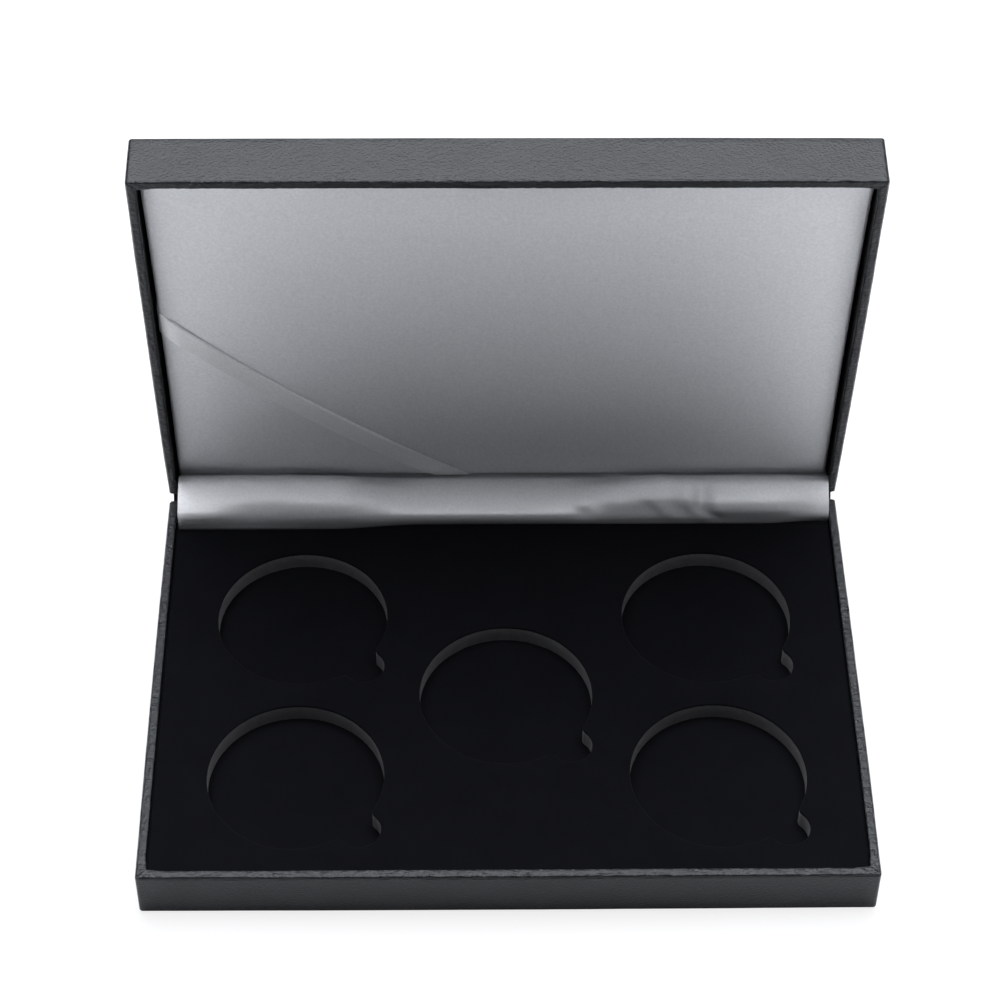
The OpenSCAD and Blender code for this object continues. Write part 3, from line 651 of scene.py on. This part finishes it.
# Creases: place in mm, width in mm, slant, change of slope in degrees, and the shares between which they run
CREASES = (
    (23.5, 2.0, 10.0, 16, 0.20, 0.42), (22.5, 2.6, 6.0, -12, 0.06, 0.24), (33.0, 3.0, 18.0, 5, 0.14, 0.5),
    (44.5, 1.8, 22.0, 13, 0.08, 0.46), (49.0, 2.0, 20.0, -8, 0.08, 0.36), (53.0, 1.6, 18.0, 14, 0.12, 0.40),
    (57.0, 1.8, 20.0, -12, 0.04, 0.34), (61.0, 1.5, 20.0, 8, 0.1, 0.4),
    (-62.0, 9.0, 30.0, 5, 0.3, 0.9), (-44.0, 8.0, 30.0, -5, 0.2, 0.9), (-40.0, 5.0, 40.0, 6, 0.5, 0.95))


def crease(x, s):
    """What the curtain's slanting creases and its soft waves add to the slope."""
    turn = 0.0
    for mid, spread, slant, change, low, high in CREASES:
        band = max(0.0, min((s - low) / 0.07, (high - s) / 0.1, 1.0))
        turn += change * bump_at(x + slant * (s - 0.2), mid, spread) * band
    return turn + 2.5 * rough(x, s * 18, 0, 22, 17) * ramp(s, 0.1, 0.3) + 1.2 * rough(x, s * 14, 0, 5, 19)


def roll_shape(x, s):
    """Slope in degrees of the curtain's roll at x and at share s of its way from front to panel.

    It is a round puffy roll at the left, flat with a crisp shoulder in the middle, and tucked in
    near the right end. Each knot of a table is a share and the slope there.
    """
    def table(*knots):
        return np.interp(s, knots[::2], knots[1::2])

    over = (0.77, -15, 0.85, -45, 1, -66)
    end = table(0, 92, 0.18, 92, 0.22, 78, 0.25, 50, 0.28, 34, 0.45, 29, 0.62, 25, 0.72, 12, *over)
    left = table(0, 92, 0.09, 92, 0.16, 84, 0.22, 70, 0.27, 58, 0.32, 50, 0.37, 41, 0.42, 32, 0.46, 27,
                 0.63, 24, 0.72, 12, *over)
    middle = table(0, 92, 0.06, 92, 0.11, 80, 0.15, 68, 0.19, 50, 0.24, 24, 0.3, 17, 0.6, 16, 0.9, 15, 1, -40)
    slack = table(0, 88, 0.1, 86, 0.13, 68, 0.2, 56, 0.28, 57, 0.33, 53, 0.37, 44, 0.42, 34, 0.47, 28, 0.62, 23,
                  0.72, 10, *over)
    tucked = table(0, 86, 0.2, 84, 0.24, 70, 0.29, 54, 0.35, 38, 0.4, 27, 0.6, 22, 0.7, 10, *over)
    right = table(0, 86, 0.06, 84, 0.1, 70, 0.15, 56, 0.2, 46, 0.28, 38, 0.36, 30, 0.62, 24, 0.72, 12, *over)
    slope = middle + (left - middle) * ramp(x, -22, -50)
    slope = slope + (end - slope) * ramp(x, -70, -86)
    slope = slope + (slack - slope) * ramp(x - 9 * s, 8, 38)
    slope = slope + (tucked - slope) * ramp(x + 20 * s, 60, 63.5)
    return slope + (right - slope) * ramp(x, 76, 92)


def curtain_path(x):
    """The curtain's section at x: forward over the velvet, up its roll, back to the panel."""
    front = FOOT + (-1.5 - 1.7 * ramp(x, -22, -50) + 1.1 * ramp(x, 72, 92), 0.25)
    share = np.linspace(0, 1, CURTAIN_STEPS + 1)
    slope = np.radians([roll_shape(x, s) + crease(x, s) for s in share])
    step = np.column_stack([np.cos(slope), np.sin(slope)])
    way = np.vstack([(0, 0), np.cumsum((step[1:] + step[:-1]) / 2, axis=0)])
    have, want = way[-1], HEAD - front
    turn = math.atan2(want[1], want[0]) - math.atan2(have[1], have[0])
    size = np.linalg.norm(want) / np.linalg.norm(have)
    c, s = math.cos(turn) * size, math.sin(turn) * size
    roll = front + np.column_stack([way[:, 0] * c - way[:, 1] * s, way[:, 0] * s + way[:, 1] * c])
    up = swung(HEAD_SHUT[0], HEAD_SHUT[1] + 1) - HEAD
    under = [FOOT - (0, FOOT_TAIL), FOOT - (0, FOOT_TAIL / 2), FOOT, FOOT * 0.6 + front * 0.4 + (0, 0.05)]
    return np.vstack([under, roll, HEAD + up * HEAD_TAIL / 2, HEAD + up * HEAD_TAIL])


def curtain_grid(side):
    """The curtain's inner face (side 1) or hidden face (side -1)."""
    out = []
    for x in np.linspace(CURTAIN_L, CURTAIN_R, CURTAIN_COLUMNS):
        path = curtain_path(x)
        d = np.gradient(path, axis=0)
        n = np.column_stack([-d[:, 1], d[:, 0]]) / np.linalg.norm(d, axis=1, keepdims=True)
        out.append(np.column_stack([np.full(len(path), x), path + n * side * CURTAIN_T / 2]))
    return np.array(out)


def path_length(path):
    """Length of a line through points."""
    return np.linalg.norm(np.diff(path, axis=0), axis=1).sum()


curtain = sheet_mesh("satin_cover", curtain_grid(1), curtain_grid(-1), sharp=70)
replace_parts(curtain, "satin_curtain")
curtain_run = np.mean([path_length(curtain_path(x)) for x in range(-90, 91, 20)])
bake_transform(curtain)

SPINE_R, SPINE_REACH = 1.1, 10
SPINE_LID_Y = CASE_D / 2 + 0.06 + WRAP_T / 2
SPINE = [np.array((CASE_D / 2 + WRAP_T / 2, BASE_H - 2.2 * SPINE_R)),
         np.array((AXIS_Y + 0.45 * SPINE_R, AXIS_Z - 1.2 * SPINE_R)),
         swung(SPINE_LID_Y, LID_RIM_Z + 1.4 * SPINE_R), swung(SPINE_LID_Y, LID_RIM_Z + 2.8 * SPINE_R)]


def strip_grid(path, x0, x1, n, thickness, seed=None):
    """Two faces of a strip that follows a path in the YZ plane, carried along X."""
    path = np.array(path)
    d = np.gradient(path, axis=0)
    normal = np.column_stack([-d[:, 1], d[:, 0]]) / np.linalg.norm(d, axis=1, keepdims=True)
    faces_out = []
    for side in (1, -1):
        out = np.zeros((n, len(path), 3))
        for i, x in enumerate(np.linspace(x0, x1, n)):
            off = side * thickness / 2
            p = path + normal * off
            out[i, :, 0], out[i, :, 1:] = x, p
            if seed is not None and side == -1:
                for j in range(len(path)):
                    out[i, j, 1:] -= normal[j] * 0.05 * (1 + rough(x, path[j][0], path[j][1], 7, seed))
        faces_out.append(out)
    return faces_out


spine_path = [np.array((CASE_D / 2 + WRAP_T / 2, v))
              for v in np.linspace(BASE_H - SPINE_REACH, SPINE[0][1], 6)[:-1]]
spine_path += [cubic(SPINE, t) for t in np.linspace(0, 1, 25)]
spine_path += [swung(SPINE_LID_Y, v)
               for v in np.linspace(LID_RIM_Z + 2.8 * SPINE_R, LID_RIM_Z + SPINE_REACH, 6)[1:]]
spine = sheet_mesh("leather_spine",
                   *strip_grid(spine_path, -CASE_W / 2 + 1, CASE_W / 2 - 1, 96, WRAP_T, 21), sharp=70)
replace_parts(spine, "spine_strip")
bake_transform(spine)

BOW_W, BOW_T, BOW_SET = 6, 0.2, 0.15
BOW_Y = INNER_Y - 0.4 - 0.1
BOW = [np.array((BOW_Y, BASE_H - 3.0)), np.array((BOW_Y - 1.0, BASE_H + 1.5)),
       swung(BOW_Y - BOW_SET - 1.0, LID_RIM_Z + 3.0 - 4.5), swung(BOW_Y - BOW_SET, LID_RIM_Z + 3.0)]
bow_path = [np.array((BOW_Y, v)) for v in np.linspace(BASE_H - 7.5, BASE_H - 3, 5)[:-1]]
bow_path += [cubic(BOW, t) for t in np.linspace(0, 1, 33)]
bow_path += [swung(BOW_Y - BOW_SET, v) for v in (LID_RIM_Z + 4.0, LID_RIM_Z + 5.4)]
for s in (-1, 1):
    bow_faces = strip_grid(bow_path, s * HINGE_X - BOW_W / 2, s * HINGE_X + BOW_W / 2, 9, BOW_T)
    bow = sheet_mesh("bow_spring_" + ("right" if s > 0 else "left"), *bow_faces, sharp=50)
    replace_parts(bow, "bow_springs")
    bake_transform(bow)


# Materials


class Shader:
    """A node material with one Principled shader."""

    def __init__(self, name, **settings):
        self.mat = bpy.data.materials.new(name)
        self.mat.use_nodes = True
        self.tree = self.mat.node_tree
        self.bsdf = self.tree.nodes["Principled BSDF"]
        self.where = self.add("ShaderNodeTexCoord").outputs["Object"]
        for key, value in settings.items():
            self.bsdf.inputs[key.replace("_", " ")].default_value = value

    def add(self, kind, **settings):
        node = self.tree.nodes.new(kind)
        for key, value in settings.items():
            if key.startswith("in_"):
                socket = node.inputs[key[3:].replace("_", " ")]
                if isinstance(value, bpy.types.NodeSocket):
                    self.tree.links.new(value, socket)
                else:
                    socket.default_value = value
            else:
                setattr(node, key, value)
        return node

    def stretch(self, scale):
        """Coordinates scaled by axis: below 1 draws the grain out along it."""
        return self.add("ShaderNodeMapping", in_Vector=self.where, in_Scale=scale).outputs[0]

    def noise(self, size, detail=3.0, rough_=0.5, at=None):
        """Noise with features of size millimetres."""
        node = self.add("ShaderNodeTexNoise", in_Vector=at or self.where, in_Scale=1000.0 / size,
                        in_Detail=detail, in_Roughness=rough_)
        return node.outputs["Fac"]

    def cells(self, size, at=None):
        """Distance to the middle of cells of size millimetres."""
        node = self.add("ShaderNodeTexVoronoi", feature="SMOOTH_F1", in_Vector=at or self.where,
                        in_Scale=1000.0 / size, in_Smoothness=0.5)
        return node.outputs["Distance"]

    def math(self, op, a, b=0.0):
        node = self.add("ShaderNodeMath", operation=op)
        for k, v in enumerate((a, b)):
            if isinstance(v, bpy.types.NodeSocket):
                self.tree.links.new(v, node.inputs[k])
            else:
                node.inputs[k].default_value = v
        return node.outputs[0]

    def between(self, fac, lo, hi):
        """Spreads a value from 0 to 1 over lo to hi."""
        return self.add("ShaderNodeMapRange", in_Value=fac, in_To_Min=lo, in_To_Max=hi).outputs[0]

    def colour(self, fac, stops):
        """Colour from two stops, each a value and its red, green and blue."""
        node = self.add("ShaderNodeValToRGB", in_Fac=fac)
        for e, (at, rgb) in zip(node.color_ramp.elements, stops):
            e.position, e.color = at, (*rgb, 1)
        return node.outputs["Color"]

    def link(self, out, socket):
        self.tree.links.new(out, self.bsdf.inputs[socket])

    def bump(self, height, strength, distance_mm):
        return self.add("ShaderNodeBump", in_Height=height, in_Strength=strength,
                        in_Distance=distance_mm * 0.001).outputs[0]


def leatherette():
    """Pebbled grain with shallow dents; the attribute rim crumples it over the case's rims."""
    m = Shader("leatherette")
    m.bsdf.inputs["Specular IOR Level"].default_value = 0.38
    pebble = m.cells(0.6, m.stretch((0.8, 1.2, 1.2)))
    fine = m.noise(0.3, 4)
    dents = m.noise(1.6, 3, 0.6, m.stretch((0.75, 1.3, 1.3)))
    height = m.math("ADD", m.math("MULTIPLY", pebble, -0.9), m.math("MULTIPLY", fine, 0.5))
    rim = m.add("ShaderNodeAttribute", attribute_name="rim").outputs["Fac"]
    crumple = m.math("MULTIPLY", m.noise(1.2, 3, 0.6, m.stretch((0.6, 1, 1))), rim)
    height = m.math("ADD", height, m.math("MULTIPLY", dents, 0.9))
    height = m.math("ADD", height, m.math("MULTIPLY", crumple, 3.5))
    m.link(m.bump(height, 0.75, 0.13), "Normal")
    m.link(m.colour(m.math("ADD", m.math("MULTIPLY", pebble, -0.5), m.noise(9, 3)),
                    [(0.1, (0.010, 0.0115, 0.014)), (0.7, (0.019, 0.0215, 0.025))]), "Base Color")
    m.link(m.between(m.noise(0.8, 3), 0.29, 0.41), "Roughness")
    return m.mat


def satin(name, tone, weave, rough_lo, metal):
    """Woven satin with a metallic sheen."""
    m = Shader(name, Metallic=metal)
    warp = m.noise(0.16, 2, 0.5, m.stretch((1, 0.12, 1)))
    weft = m.noise(0.16, 2, 0.5, m.stretch((0.12, 1, 0.4)))
    slub = m.noise(2.2, 3)
    height = m.math("ADD", m.math("ADD", warp, weft), m.math("MULTIPLY", slub, 1.5))
    m.link(m.bump(height, weave, 0.05), "Normal")
    lo, hi = (tuple(c * k for c in tone) for k in (0.94, 1.04))
    m.link(m.colour(m.noise(0.7, 3), [(0.3, lo), (0.7, hi)]), "Base Color")
    m.link(m.between(slub, rough_lo, rough_lo + 0.1), "Roughness")
    return m.mat


def velvet():
    """Black velvet with short pile, brushed unevenly."""
    m = Shader("velvet", Roughness=1.0, Sheen_Weight=0.08, Sheen_Roughness=0.35)
    m.bsdf.inputs["Specular IOR Level"].default_value = 0.12
    pile = m.noise(0.14, 2)
    brushed = m.noise(11, 4, 0.6)
    m.link(m.bump(pile, 0.5, 0.15), "Normal")
    m.link(m.colour(m.math("ADD", m.math("MULTIPLY", pile, 0.5), m.math("MULTIPLY", brushed, 0.5)),
                    [(0.3, (0.0021, 0.0023, 0.0034)), (0.75, (0.0042, 0.0045, 0.0062))]), "Base Color")
    return m.mat


def foam(name, dark, light, pore):
    """Foam with pores of pore millimetres."""
    m = Shader(name, Roughness=0.9)
    cell = m.cells(pore)
    m.link(m.bump(m.math("ADD", cell, m.math("MULTIPLY", m.noise(pore * 4, 3), 0.6)), 0.6, 0.2), "Normal")
    m.link(m.colour(m.math("ADD", m.math("MULTIPLY", cell, 0.6), m.math("MULTIPLY", m.noise(3, 3), 0.5)),
                    [(0.2, dark), (0.8, light)]), "Base Color")
    return m.mat


def plain(name, dark, light, size, roughness, metallic=0.0, stretch=(1, 1, 1), bump=0.1):
    """Board, moulding or metal with a grain of size millimetres."""
    m = Shader(name, Metallic=metallic)
    grain = m.noise(size, 4, 0.6, m.stretch(stretch))
    m.link(m.bump(grain, bump, 0.05), "Normal")
    m.link(m.colour(grain, [(0.3, dark), (0.7, light)]), "Base Color")
    m.link(m.between(grain, roughness - 0.06, roughness + 0.06), "Roughness")
    return m.mat


mats = {
    "leatherette": leatherette(),
    "satin": satin("satin", (0.88, 0.88, 0.895), 0.45, 0.6, 0.85),
    "curtain_satin": satin("curtain_satin", (0.96, 0.96, 0.975), 0.3, 0.5, 0.6),
    "ribbon_satin": satin("ribbon_satin", (0.97, 0.97, 0.98), 0.2, 0.4, 0.4),
    "velvet": velvet(),
    "insert_foam": foam("insert_foam", (0.17, 0.17, 0.172), (0.27, 0.27, 0.273), 0.35),
    "spacer_foam": foam("spacer_foam", (0.09, 0.09, 0.09), (0.15, 0.15, 0.15), 0.6),
    "soft_foam": foam("soft_foam", (0.7, 0.7, 0.66), (0.85, 0.85, 0.82), 0.5),
    "moulded_core": plain("moulded_core", (0.03, 0.03, 0.03), (0.06, 0.06, 0.06), 0.8, 0.6),
    "underside": plain("underside", (0.012, 0.012, 0.013), (0.03, 0.03, 0.032), 0.5, 0.8, bump=0.3),
    "backing_board": plain("backing_board", (0.28, 0.21, 0.13), (0.42, 0.33, 0.22), 1.2, 0.85, bump=0.3),
    "hinge_steel": plain("hinge_steel", (0.48, 0.48, 0.49), (0.6, 0.6, 0.61), 0.4, 0.35, 1.0, (0.1, 1, 1)),
    "spring_steel": plain("spring_steel", (0.3, 0.33, 0.4), (0.42, 0.45, 0.52), 0.4, 0.22, 1.0, (0.1, 1, 1)),
}
slots = {s["node"]: s["material_slot"] for s in frame["record"]["subparts"]}
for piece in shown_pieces():
    stands_for = list(piece.get("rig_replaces", [])) or [piece.get("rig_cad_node")]
    name = slots[stands_for[0]]
    piece.data.materials.clear()
    piece.data.materials.append(mats[name])


# Camera, light and floor

LENS, CAMERA_PLACE = 100.15, (-0.01186, -0.47108, 0.60202)
PITCH, YAW, ROLL = (math.radians(v) for v in (47.608, -1.183, 0.699))
LAMP_COLOUR = (0.965, 0.985, 1.03)

camera = bpy.data.objects.new("camera", bpy.data.cameras.new("camera"))
scene.collection.objects.link(camera)
scene.camera = camera
camera.data.sensor_width = 36.0
camera.data.lens = LENS
camera.data.clip_start, camera.data.clip_end = 0.05, 50
level = Matrix(((1, 0, 0), (0, math.sin(PITCH), math.cos(PITCH)), (0, -math.cos(PITCH), math.sin(PITCH))))
tilt = Matrix(((math.cos(ROLL), math.sin(ROLL), 0), (-math.sin(ROLL), math.cos(ROLL), 0), (0, 0, 1)))
turned = (tilt @ level @ Matrix.Rotation(YAW, 3, "Z").transposed()).transposed()
camera.matrix_world = Matrix.Translation(CAMERA_PLACE) @ turned.to_4x4()


def area_light(name, place, size_x, size_y, radiance, spread=180):
    """Level lamp facing straight down, its brightness given as radiance."""
    data = bpy.data.lights.new(name, "AREA")
    data.shape, data.size, data.size_y = "RECTANGLE", size_x, size_y
    data.energy = radiance * math.pi * size_x * size_y
    data.spread = math.radians(spread)
    data.color = LAMP_COLOUR
    lamp = bpy.data.objects.new(name, data)
    scene.collection.objects.link(lamp)
    lamp.location = place
    lamp.rotation_euler = Vector((0, 0, -place[2])).to_track_quat("-Z", "Y").to_euler()


def split_by_ray(tree, bounced, seen, end):
    """Shows one shader to the camera, and gives another to all light that bounces."""
    ray = tree.nodes.new("ShaderNodeLightPath")
    mix = tree.nodes.new("ShaderNodeMixShader")
    tree.links.new(ray.outputs["Is Camera Ray"], mix.inputs[0])
    tree.links.new(bounced.outputs[0], mix.inputs[1])
    tree.links.new(seen.outputs[0], mix.inputs[2])
    tree.links.new(mix.outputs[0], end.inputs["Surface"])


def floor_material():
    """Pale floor that the camera sees as near white, with the object's shadow on it."""
    material = bpy.data.materials.new("floor")
    material.use_nodes = True
    tree = material.node_tree
    tree.nodes.clear()
    lit = tree.nodes.new("ShaderNodeBsdfDiffuse")
    lit.inputs["Color"].default_value = (0.85, 0.85, 0.85, 1)
    pale = tree.nodes.new("ShaderNodeBsdfDiffuse")
    pale.inputs["Color"].default_value = (0.25, 0.25, 0.25, 1)
    glow = tree.nodes.new("ShaderNodeEmission")
    glow.inputs["Strength"].default_value = 0.80
    both = tree.nodes.new("ShaderNodeAddShader")
    tree.links.new(pale.outputs[0], both.inputs[0])
    tree.links.new(glow.outputs[0], both.inputs[1])
    split_by_ray(tree, lit, both, tree.nodes.new("ShaderNodeOutputMaterial"))
    return material


def studio_world():
    """White to the camera, and a faint cool fill for the object."""
    world = bpy.data.worlds.new("studio")
    world.use_nodes = True
    tree = world.node_tree
    fill = tree.nodes["Background"]
    fill.inputs["Color"].default_value = (0.9, 0.95, 1, 1)
    fill.inputs["Strength"].default_value = 0.06
    white = tree.nodes.new("ShaderNodeBackground")
    white.inputs["Color"].default_value = (1, 1, 1, 1)
    white.inputs["Strength"].default_value = 1.0
    split_by_ray(tree, fill, white, tree.nodes["World Output"])
    return world


area_light("rear_softbox", (0.0, 0.52, 1.10), 1.25, 1.25, 5.0)
area_light("front_lamp", (0.0, -0.95, 1.20), 2.4, 0.6, 2.1, 34)
for s, radiance in ((-1, 1.9), (1, 2.7)):
    area_light("side_lamp", (s * 0.75, 0.20, 1.20), 0.9, 0.9, radiance, 34)

floor_mesh = bpy.data.meshes.new("floor")
floor_mesh.from_pydata([(-6, -6, 0), (6, -6, 0), (6, 6, 0), (-6, 6, 0)], [], [(0, 1, 2, 3)])
floor = bpy.data.objects.new("floor", floor_mesh)
scene.collection.objects.link(floor)
floor_mesh.materials.append(floor_material())
scene.world = studio_world()
